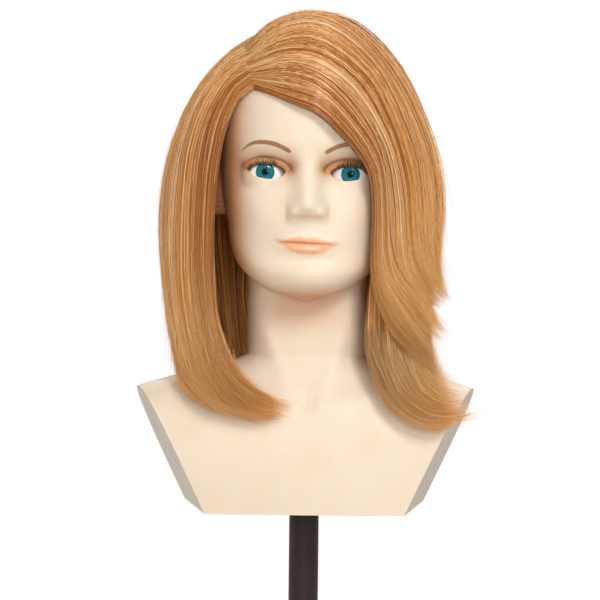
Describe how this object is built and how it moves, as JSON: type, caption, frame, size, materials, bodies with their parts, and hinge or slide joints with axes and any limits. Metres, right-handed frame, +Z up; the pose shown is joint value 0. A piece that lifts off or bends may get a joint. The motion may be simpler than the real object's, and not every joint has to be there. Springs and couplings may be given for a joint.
{
  "type": "mannequin training head",
  "caption": "Mannequin training head: ivory vinyl bust with painted face, teal eyes and long golden side-parted hair, on the tilting pole of a table clamp",
  "frame": {"origin": "on the lower face of the clamp's seat pad, under the pole, where the clamp rests on the table top", "axes": "-Y is the way the face looks, +X is the viewer's right when facing it, +Z is up along the pole"},
  "size_m": [0.2818, 0.2051, 0.7627],
  "materials": {
    "vinyl": "satin",
    "foam": "matte",
    "board": "matte",
    "acrylic": "gloss",
    "lash": "matte",
    "hair": "satin",
    "nylon": "satin",
    "pole_paint": "satin",
    "cast_paint": "satin",
    "fibre": "matte",
    "steel": "satin",
    "zinc": "satin",
    "black_plastic": "satin",
    "rubber": "matte"
  },
  "bodies": {
    "clamp": {"clamp_frame": "cast_paint", "seat_pad": "rubber", "tilt_yoke": "cast_paint", "yoke_bolt": "steel", "pivot_bolt": "steel"},
    "pad": {"pressure_pad": "steel", "pressure_pad_facing": "rubber"},
    "screw": {"clamp_screw": "steel"},
    "tommy": {"tommy_bar": "steel", "tommy_cap_left": "black_plastic", "tommy_cap_right": "black_plastic"},
    "tilt_lever": {"tilt_lever_hub": "zinc", "tilt_lever_arm": "black_plastic"},
    "pole": {"pole": "pole_paint", "tilt_knuckle": "cast_paint", "pole_grub_screw": "steel", "friction_washer_left": "fibre", "friction_washer_right": "fibre"},
    "bush": {"swivel_bush": "nylon"},
    "head": {"head_shell": "vinyl", "foam_core": "foam", "base_board": "board", "pole_socket": "board", "base_screw_front_left": "steel", "base_screw_front_right": "steel", "base_screw_rear_left": "steel", "base_screw_rear_right": "steel", "eye_left": "acrylic", "eye_right": "acrylic", "lashes_left": "lash", "lashes_right": "lash", "hair_fringe": "hair", "hair_right_side": "hair", "hair_right_back": "hair", "hair_left_side": "hair", "hair_left_back": "hair"}
  },
  "joints": [
    {"name": "pole_tilt", "type": "hinge", "parent": "clamp", "child": "pole", "pos_m": [0, 0, 0.056], "axis": [1, 0, 0], "range_deg": [-30, 90]},
    {"name": "tilt_lock", "type": "hinge", "parent": "clamp", "child": "tilt_lever", "pos_m": [0.022, 0, 0.056], "axis": [1, 0, 0], "range_deg": [-60, 60]},
    {"name": "head_turn", "type": "hinge", "parent": "pole", "child": "bush", "pos_m": [0, 0, 0.185], "axis": [0, 0, 1], "continuous": true},
    {"name": "head_lift", "type": "slide", "parent": "bush", "child": "head", "axis": [0, 0, 1], "range_m": [0, 0.11]},
    {"name": "pad_travel", "type": "slide", "parent": "clamp", "child": "pad", "axis": [0, 0, 1], "range_m": [-0.021, 0.027]},
    {"name": "screw_spin", "type": "hinge", "parent": "pad", "child": "screw", "pos_m": [0, 0, -0.16], "axis": [0, 0, 1], "range_deg": [-2520, 3240]},
    {"name": "tommy_slide", "type": "slide", "parent": "screw", "child": "tommy", "axis": [1, 0, 0], "range_m": [-0.035, 0.035]}
  ],
  "couplings": [
    {"joint": "pad_travel", "follows": "screw_spin", "m_per_rad": 0.00047746}
  ]
}
